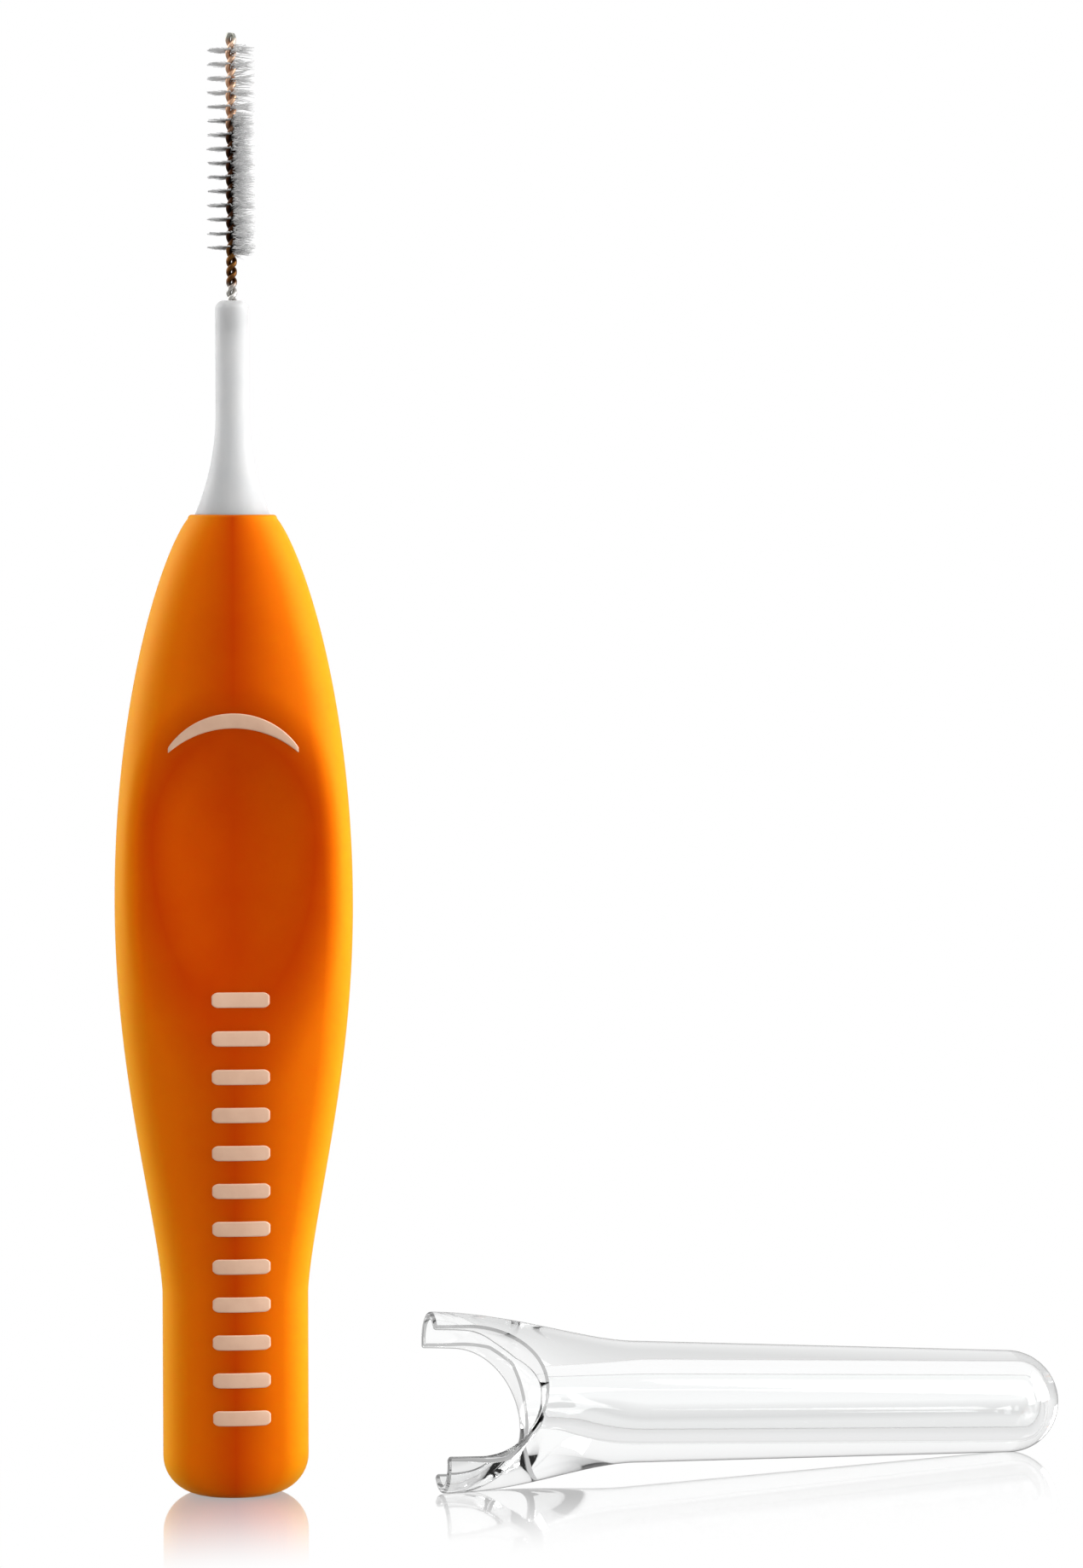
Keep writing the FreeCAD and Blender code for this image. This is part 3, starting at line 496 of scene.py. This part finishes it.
def rim_rows(outer, inner, slants, side):
    """Profiles up one edge of the notch, round the end of the ear and down the other edge"""
    path = []
    for column, order in ((0, 1), (-1, -1)):
        edge = []
        for row in range(len(slants) - 1, -1, -1):
            edge.append((outer[row][column], inner[row][column], slants[row]))
        for slant in steps(0, math.pi / 2, EAR_CORNER_STEPS):
            edge.append((outer[0][column], inner[0][column], slant))
        path.append(edge[::order])
    ear = [(outer[0][column], inner[0][column], math.pi / 2) for column in range(1, len(outer[0]) - 1)]
    rows = []
    for outside, inside, slant in path[0] + ear + path[1]:
        away = Vector((-side * math.cos(slant), 0, -math.sin(slant)))
        rows.append(rim_profile(Vector(outside), Vector(inside), away))
    return rows


def add_grid(points, faces, rows, materials):
    """Add a grid of faces, each with the number of its column's material"""
    base, count = len(points), len(rows[0])
    points.extend(point for row in rows for point in row)
    for row in range(len(rows) - 1):
        for column in range(count - 1):
            low, high = base + row * count + column, base + (row + 1) * count + column
            faces.append(((low, low + 1, high + 1, high), materials[column]))


def cap_half(points, faces, side):
    """Add the outer and inner surfaces of one half of the cap, and the rim that joins them at its mouth"""
    stations = notch_stations()
    bore_round_start = BORE_END - CAP_BORE_ROUND
    surfaces = []
    for sizes, end in ((cap_outer, DOME_CENTRE), (cap_inner, bore_round_start)):
        rows = [half_ring(*sizes(distance), edge, distance, side) for distance, edge, _ in stations]
        flare = steps(CAP_LINING_LENGTH, CAP_FLARE_LENGTH, CAP_FLARE_STEPS)
        for distance in flare + steps(CAP_FLARE_LENGTH, end, CAP_TUBE_STEPS)[1:]:
            rows.append(half_ring(*sizes(distance), 0, distance, side))
        surfaces.append(rows)
    outer, inner = surfaces
    for angle in steps(0, math.pi / 2, DOME_STEPS)[1:]:
        radius = max(DOME_RADIUS * math.cos(angle), POLE_RADIUS)
        outer.append(half_ring(radius, radius, 0, DOME_CENTRE + DOME_RADIUS * math.sin(angle), side))
    for angle in steps(0, math.pi / 2, BORE_END_STEPS)[1:]:
        radius = cap_inner(bore_round_start)[0] - CAP_BORE_ROUND * (1 - math.cos(angle))
        inner.append(half_ring(radius, radius, 0, BORE_END - CAP_BORE_ROUND * (1 - math.sin(angle)), side))
    inner.append(half_ring(POLE_RADIUS, POLE_RADIUS, 0, BORE_END, side))
    add_grid(points, faces, outer, [SKIN] * CAP_RING_STEPS)
    add_grid(points, faces, inner, [SKIN] * CAP_RING_STEPS)
    add_grid(points, faces, rim_rows(outer, inner, [slant for _, _, slant in stations], side), RIM_MATERIALS)


def cap_mesh():
    """Whole cap, standing on its ears"""
    points, faces = [], []
    for side in (1, -1):
        cap_half(points, faces, side)
    mesh = bpy.data.meshes.new("clear_cap")
    mesh.from_pydata(points, [], [face for face, _ in faces])
    mesh.polygons.foreach_set("material_index", [material for _, material in faces])
    work = bmesh.new()
    work.from_mesh(mesh)
    bmesh.ops.remove_doubles(work, verts=work.verts, dist=WELD_GAP)
    bmesh.ops.dissolve_degenerate(work, edges=work.edges, dist=SLIVER)
    bmesh.ops.recalc_face_normals(work, faces=work.faces)
    work.to_mesh(mesh)
    work.free()
    return mesh


def make_cap():
    """The cap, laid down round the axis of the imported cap's bore"""
    mesh = cap_mesh()
    bore = named(frame["record"]["mounts"], "cap_bore")
    axis = -Vector(bore["axis"])
    bore_middle = (CAP_LINING_LENGTH + BORE_END - CAP_BORE_CHAMFER) / 2
    place = Vector(bore["pos_m"]) / MM - axis * bore_middle
    turn = Matrix.Rotation(math.atan2(axis.y, axis.x), 4, "Z")
    lean = Matrix.Rotation(math.pi / 2 + math.asin(-axis.z), 4, "Y")
    roll = Matrix.Rotation(-math.radians(CAP_ROLL), 4, "Z")
    mesh.transform(Matrix.Translation(place) @ turn @ lean @ roll)
    cap = link("clear_cap", mesh, "cap")
    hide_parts("cap")
    return cap


# Nodes: each helper takes plain values and other nodes' outputs alike
def feed(tree, made, inputs):
    """Fill inputs of a node, by name or number: another node's output is linked, and a plain value set"""
    for key, value in inputs.items():
        if isinstance(value, bpy.types.NodeSocket):
            tree.links.new(value, made.inputs[key])
        else:
            made.inputs[key].default_value = value


def node(tree, kind, inputs=(), **settings):
    made = tree.nodes.new(kind)
    for key, value in settings.items():
        setattr(made, key, value)
    feed(tree, made, dict(inputs))
    return made


def maths(tree, operation, *values):
    return node(tree, "ShaderNodeMath", enumerate(values), operation=operation).outputs["Value"]


def map_range(tree, value, span, result, blend="LINEAR"):
    """Result that goes from its start to its end while the value goes through its span"""
    limits = {"From Min": span[0], "From Max": span[1], "To Min": result[0], "To Max": result[1]}
    made = node(tree, "ShaderNodeMapRange", {"Value": value, **limits}, interpolation_type=blend)
    return made.outputs["Result"]


def coordinates(tree, kind="Object"):
    return node(tree, "ShaderNodeTexCoord").outputs[kind]


def component(tree, vector, axis):
    return node(tree, "ShaderNodeSeparateXYZ", {"Vector": vector}).outputs[axis]


def object_noise(tree, scale, stretch=(1, 1, 1)):
    mapping = node(tree, "ShaderNodeMapping", {"Vector": coordinates(tree), "Scale": stretch})
    noise = node(tree, "ShaderNodeTexNoise", {"Vector": mapping.outputs["Vector"], "Scale": scale})
    return noise.outputs["Fac"]


def colour_ramp(tree, share, stops):
    """Colours at places along a share, blended between them"""
    ramp = node(tree, "ShaderNodeValToRGB", {"Fac": share})
    elements = ramp.color_ramp.elements
    while len(elements) < len(stops):
        elements.new(0.5)
    for element, (place, colour) in zip(elements, stops):
        element.position = place
        element.color = (*colour, 1)
    return ramp.outputs["Color"]


def mottled(tree, scale, low, high):
    """Two near colours that drift into each other"""
    return colour_ramp(tree, object_noise(tree, scale), ((0.3, low), (0.7, high)))


def grey(level):
    return level, level, level


def add_bump(tree, shader, height, strength, distance):
    bump = node(tree, "ShaderNodeBump", {"Height": height, "Strength": strength, "Distance": distance})
    feed(tree, shader, {"Normal": bump.outputs["Normal"]})


def mix_shaders(tree, share, first, second):
    return node(tree, "ShaderNodeMixShader", {"Fac": share, 1: first.outputs[0], 2: second.outputs[0]})


def mix_numbers(tree, share, first, second):
    mix = node(tree, "ShaderNodeMix", {"Factor": share, 2: first, 3: second}, data_type="FLOAT")
    return mix.outputs[0]


def rays(tree, *kinds):
    """1 for rays of any of the kinds named, and 0 for the others"""
    path = node(tree, "ShaderNodeLightPath")
    found = path.outputs[kinds[0]]
    for kind in kinds[1:]:
        found = maths(tree, "MAXIMUM", found, path.outputs[kind])
    return found


# Materials
def new_material(name):
    material = bpy.data.materials.new(name)
    material.use_nodes = True
    return material, material.node_tree, material.node_tree.nodes["Principled BSDF"]


def set_surface(tree, shader):
    feed(tree, tree.nodes["Material Output"], {"Surface": shader.outputs[0]})


def orange_rubber():
    """Translucent orange rubber with painted light in its colour: redder where it faces front or back, as
    painted shade, and yellower towards both sides, where the side softboxes fall
    """
    material, tree, shader = new_material("orange_soft_touch")
    # Painted light: the colour turns from shaded red-orange to lit yellow-orange as the surface turns
    # towards either side
    painted_side_light = maths(tree, "ABSOLUTE", component(tree, coordinates(tree, "Normal"), "X"))
    grain_share = 0.06
    grain_and_side_light = maths(tree, "MULTIPLY_ADD", object_noise(tree, 500), grain_share, painted_side_light)
    shaded_front_orange, orange, lit_side_orange = (0.62, 0.048, 0.0002), (0.82, 0.145, 0.0005), (0.93, 0.33, 0.001)
    feed(tree, shader, {
        "Base Color": colour_ramp(tree, grain_and_side_light, ((0.03, shaded_front_orange), (0.3, orange), (0.95, lit_side_orange))),
        "Roughness": 0.55,
        "Specular IOR Level": 0.15,
        "Specular Tint": (1.0, 0.5, 0.03, 1),
        "Sheen Weight": 0.6,
        "Sheen Roughness": 0.5,
        "Sheen Tint": (1.0, 0.55, 0.03, 1),
        "Subsurface Weight": 0.4,
        "Subsurface Radius": (1.0, 0.3, 0.1),
        "Subsurface Scale": 0.002,
    })
    add_bump(tree, shader, object_noise(tree, 9000), strength=0.2, distance=0.00002)
    return material


def white_plastic():
    material, tree, shader = new_material("white_gloss_plastic")
    feed(tree, shader, {
        "Base Color": mottled(tree, 900, (0.515, 0.52, 0.525), grey(0.54)),
        "Roughness": 0.3,
        "Specular IOR Level": 0.1,
        "Subsurface Weight": 0.8,
        "Subsurface Radius": (1.0, 1.0, 1.0),
        "Subsurface Scale": 0.003,
    })
    add_bump(tree, shader, object_noise(tree, 2500), strength=0.05, distance=0.00002)
    return material


def pale_mark():
    material, tree, shader = new_material("pale_mark")
    feed(tree, shader, {
        "Base Color": mottled(tree, 1500, (0.82, 0.51, 0.35), (0.87, 0.56, 0.39)),
        "Roughness": 0.5,
    })
    add_bump(tree, shader, object_noise(tree, 9000), strength=0.15, distance=0.00002)
    return material


def drawn_wire():
    """Grey at both ends, a painted reflection, copper brown above the neck, then dark brown and, among the
    upper tufts, tan
    """
    material, tree, shader = new_material("drawn_wire")
    visible = (NECK_TOP * MM, WIRE_TOP * MM)
    height = map_range(tree, component(tree, coordinates(tree), "Z"), visible, (0, 1))
    # Painted reflection: the grey at the neck and at the tip stands in for highlights on the wire
    neck_glint_grey, tip_glint_grey = (0.42, 0.41, 0.39), (0.3, 0.3, 0.27)
    copper_brown, dark_brown, tan = (0.12, 0.052, 0.013), (0.035, 0.013, 0.006), (0.5, 0.3, 0.19)
    stops = (
        (0.04, neck_glint_grey),
        (0.07, (0.08, 0.032, 0.01)),
        (0.17, copper_brown),
        (0.24, dark_brown),
        (0.62, (0.05, 0.02, 0.009)),
        (0.7, tan),
        (0.96, (0.52, 0.34, 0.24)),
        (0.985, tip_glint_grey),
    )
    feed(tree, shader, {"Base Color": colour_ramp(tree, height, stops), "Metallic": 1.0, "Roughness": 0.35})
    draw_marks = object_noise(tree, 20000, stretch=(1, 1, 0.2))
    add_bump(tree, shader, draw_marks, strength=0.2, distance=0.00001)
    return material


def nylon():
    """Clear bristles: painted shade where they crowd at the wire, painted light on the right, worn side,
    where the right softbox falls, and paler among the upper tufts
    """
    material, tree, shader = new_material("clear_nylon")
    place = coordinates(tree)
    flat = node(tree, "ShaderNodeVectorMath", {0: place, 1: (1, 1, 0)}, operation="MULTIPLY")
    from_wire = node(tree, "ShaderNodeVectorMath", {0: flat.outputs["Vector"]}, operation="LENGTH")
    worn_top = BRUSH_BOTTOM + BRUSH_PITCH / 2 * WORN_TUFTS
    tone_and_painted_light = object_noise(tree, 7000)
    # Painted shade that lifts away from the wire and painted light that grows towards the right, over a
    # random tone, and paler among the upper tufts
    for value, start, end, most in (
        (from_wire.outputs["Value"], 0.0, BRUSH_DIAMETER / 2, 0.8),
        (component(tree, place, "X"), 0.0, 0.4, 0.5),
        (component(tree, place, "Z"), worn_top - 0.3, worn_top + 0.3, 0.3),
    ):
        share = map_range(tree, value, (start * MM, end * MM), (0, most))
        tone_and_painted_light = maths(tree, "ADD", tone_and_painted_light, share)
    stops = ((0.45, (0.03, 0.025, 0.02)), (0.75, (0.25, 0.24, 0.23)), (1.0, grey(0.82)))
    feed(tree, shader, {
        "Base Color": colour_ramp(tree, tone_and_painted_light, stops),
        "Roughness": 0.35,
        "Transmission Weight": 0.12,
        "IOR": 1.4,
    })
    return material


def clear_plastic():
    """Clear plastic with a painted dark outline: its surfaces turn grey where they are seen edge on,
    standing in for the dark room seen through its edges, less so from within the wall
    """
    material, tree, shader = new_material("clear_plastic")
    feed(tree, shader, {
        "Base Color": (0.985, 0.99, 0.99, 1),
        "Transmission Weight": 1.0,
        "IOR": 1.48,
        "Roughness": map_range(tree, object_noise(tree, 300), (0, 1), (0.01, 0.03)),
    })
    outline_start, outline_strength, strength_within = 0.68, 0.85, 0.3
    edge_on = node(tree, "ShaderNodeLayerWeight").outputs["Facing"]
    outline = map_range(tree, edge_on, (outline_start, 1), (0, outline_strength), "SMOOTHSTEP")
    from_within = node(tree, "ShaderNodeNewGeometry").outputs["Backfacing"]
    strength = map_range(tree, from_within, (0, 1), (1, strength_within))
    # Painted shade: a lit grey mixed in where the glass is seen edge on draws its dark outlines
    painted_edge_grey = node(tree, "ShaderNodeBsdfDiffuse", {"Color": (*grey(0.22), 1)})
    set_surface(tree, mix_shaders(tree, maths(tree, "MULTIPLY", outline, strength), shader, painted_edge_grey))
    return material


def plastic_edge(name, low, high):
    """Clear plastic of an edge that light crosses almost straight, so it shows only by how much it dulls:
    its grey tint is painted shade for the rim's dark lines
    """
    material, tree, shader = new_material(name)
    feed(tree, shader, {
        "Base Color": mottled(tree, 900, grey(low), grey(high)),
        "Transmission Weight": 1.0,
        "Roughness": 0.05,
        "IOR": 1.05,
    })
    return material


def dress(pieces, *materials):
    for piece in pieces:
        for material in materials:
            piece.data.materials.append(material)


# Studio, in metres: pale floor that turns into the white background, four softboxes and the camera
FLOOR_HALF_WIDTH, FLOOR_DROP = 3.0, 0.00002

# The strip of floor under the brush and the cap, its faint mirror image, and its painted shadow as glass
# shows it
STRIP_MIDDLE, STRIP_HALF_LENGTH = 0.033, 0.0385
MIRROR_SHARE, MIRROR_FADE = 0.62, (0.001, 0.018)
SHADE_BREADTH, PAINTED_SHADOW_LEVELS = 0.04, ((0.04, 0.85), (0.09, 0.72), (0.2, 0.85), (0.35, 1.0))

# Strengths of the floor and of the room, and where the room turns from one strength into the other
WHITE, FLOOR_IN_GLOSS, WORLD_FILL = 1.0, 0.75, 0.16
ROOM_FRONT, ROOM_TURN, UP_SHARE = 0.7, (-0.1, 0.5), 0.7
SKY_TOP, SKY_TURN = 0.6, (0, 0.6)

# Lamps and camera
LAMP_AIM = (0.012, 0, 0.03)
CAMERA_PLACE, CAMERA_YAW, CAMERA_PITCH = Vector((0, -0.230, 0.048)), 3.725, -3.327
CAMERA_LENS, SENSOR_WIDTH, CLIP_START = 108.84, 36.0, 0.01


def off_line(tree, direction, offset):
    """Distance of a place, measured along a direction, from a line that lies at an offset"""
    vectors = {0: coordinates(tree), 1: direction}
    along = node(tree, "ShaderNodeVectorMath", vectors, operation="DOT_PRODUCT").outputs["Value"]
    return maths(tree, "ABSOLUTE", maths(tree, "SUBTRACT", along, offset))


def off_strip(tree):
    """Distance of a place from the line on the floor that runs under the brush and along the cap"""
    x, y, _ = named(frame["record"]["behaviour"]["joints"], "cap_slide")["axis"]
    beside = off_line(tree, (-y, x, 0), 0.0)
    past_end = maths(tree, "SUBTRACT", off_line(tree, (x, y, 0), STRIP_MIDDLE), STRIP_HALF_LENGTH)
    return maths(tree, "MAXIMUM", beside, past_end)


def floor_material():
    """White where it is looked at, with a faint mirror image, and a painted shadow near the cap as glass
    shows it
    """
    material, tree, shader = new_material("pale_floor")
    feed(tree, shader, {"Base Color": (*grey(0.3), 1), "Roughness": 0.8})
    looked_at = rays(tree, "Is Camera Ray")
    apart = off_strip(tree)
    # Painted shadow of the brush and the cap on the strip, seen only through glass and in reflections
    shade_place = map_range(tree, apart, (0, SHADE_BREADTH), (0, 1))
    shade = colour_ramp(tree, shade_place, [(place, grey(level)) for place, level in PAINTED_SHADOW_LEVELS])
    in_gloss = map_range(tree, rays(tree, "Is Reflection Ray"), (0, 1), (WHITE, FLOOR_IN_GLOSS))
    brightness = maths(tree, "MULTIPLY", maths(tree, "MAXIMUM", shade, looked_at), in_gloss)
    white = node(tree, "ShaderNodeEmission", {"Strength": brightness})
    mirror = node(tree, "ShaderNodeBsdfGlossy", {"Color": (1, 1, 1, 1), "Roughness": 0.05})
    shine = map_range(tree, apart, MIRROR_FADE, (MIRROR_SHARE, 0), "SMOOTHSTEP")
    seen = mix_shaders(tree, maths(tree, "MULTIPLY", shine, looked_at), white, mirror)
    seeing = rays(tree, "Is Camera Ray", "Is Glossy Ray", "Is Transmission Ray")
    set_surface(tree, mix_shaders(tree, seeing, shader, seen))
    return material


def make_floor():
    half = FLOOR_HALF_WIDTH
    corners = [(-half, -half, 0), (half, -half, 0), (half, half, 0), (-half, half, 0)]
    mesh = bpy.data.meshes.new("floor")
    mesh.from_pydata(corners, [], [(0, 1, 2, 3)])
    floor = bpy.data.objects.new("floor", mesh)
    bpy.context.scene.collection.objects.link(floor)
    floor.location.z = -FLOOR_DROP
    return floor


def make_world():
    """White behind and above the object, greyer in front except low down through glass, with a weak fill"""
    world = bpy.data.worlds.new("studio")
    bpy.context.scene.world = world
    world.use_nodes = True
    tree = world.node_tree
    direction = coordinates(tree, "Generated")
    up = component(tree, direction, "Z")
    behind_or_above = maths(tree, "MULTIPLY_ADD", up, UP_SHARE, component(tree, direction, "Y"))
    room = map_range(tree, behind_or_above, ROOM_TURN, (ROOM_FRONT, WHITE), "SMOOTHSTEP")
    sky = map_range(tree, up, SKY_TURN, (WHITE, SKY_TOP), "SMOOTHSTEP")
    through = maths(tree, "MULTIPLY", rays(tree, "Is Transmission Ray"), sky)
    lit = mix_numbers(tree, rays(tree, "Is Diffuse Ray"), maths(tree, "MAXIMUM", room, through), WORLD_FILL)
    strength = mix_numbers(tree, rays(tree, "Is Camera Ray"), lit, WHITE)
    feed(tree, tree.nodes["Background"], {"Color": (1, 1, 1, 1), "Strength": strength})


def softbox(name, place, width, height, power):
    light = bpy.data.lights.new(name, "AREA")
    light.shape = "RECTANGLE"
    light.size, light.size_y = width, height
    light.energy = power
    lamp = bpy.data.objects.new(name, light)
    bpy.context.scene.collection.objects.link(lamp)
    lamp.location = place
    lamp.rotation_euler = (Vector(LAMP_AIM) - Vector(place)).to_track_quat("-Z", "Y").to_euler()


def make_lights():
    softbox("softbox_right", (0.38, 0.0, 0.12), width=0.2, height=0.4, power=2.1)
    softbox("softbox_front_right", (0.3, -0.22, 0.16), width=0.1, height=0.35, power=0.7)
    softbox("softbox_left", (-0.33, 0.12, 0.12), width=0.36, height=0.45, power=1.6)
    softbox("softbox_front", (-0.05, -0.45, 0.5), width=0.3, height=0.3, power=1.05)


def make_camera():
    data = bpy.data.cameras.new("camera")
    data.sensor_width = SENSOR_WIDTH
    data.lens = CAMERA_LENS
    data.clip_start = CLIP_START
    camera = bpy.data.objects.new("camera", data)
    bpy.context.scene.collection.objects.link(camera)
    camera.location = CAMERA_PLACE
    camera.rotation_euler = (math.radians(90 + CAMERA_PITCH), 0, -math.radians(CAMERA_YAW))
    bpy.context.scene.camera = camera


make_camera()
dress([make_grip()], orange_rubber())
dress(make_marks(), pale_mark())
dress([make_neck()], white_plastic())
dress(make_wire(), drawn_wire())
dress(make_bristles(), nylon())
# Painted shade: dark grey at the rim's corners draws the cap's dark rim lines, and a faint grey on its crest
painted_outline_corner = plastic_edge("plastic_corner", low=0.28, high=0.34)
crest_plastic = plastic_edge("plastic_rim", low=0.86, high=0.9)
dress([make_cap()], clear_plastic(), painted_outline_corner, crest_plastic)
dress([make_floor()], floor_material())
make_world()
make_lights()
bpy.context.scene.view_settings.view_transform = "Standard"
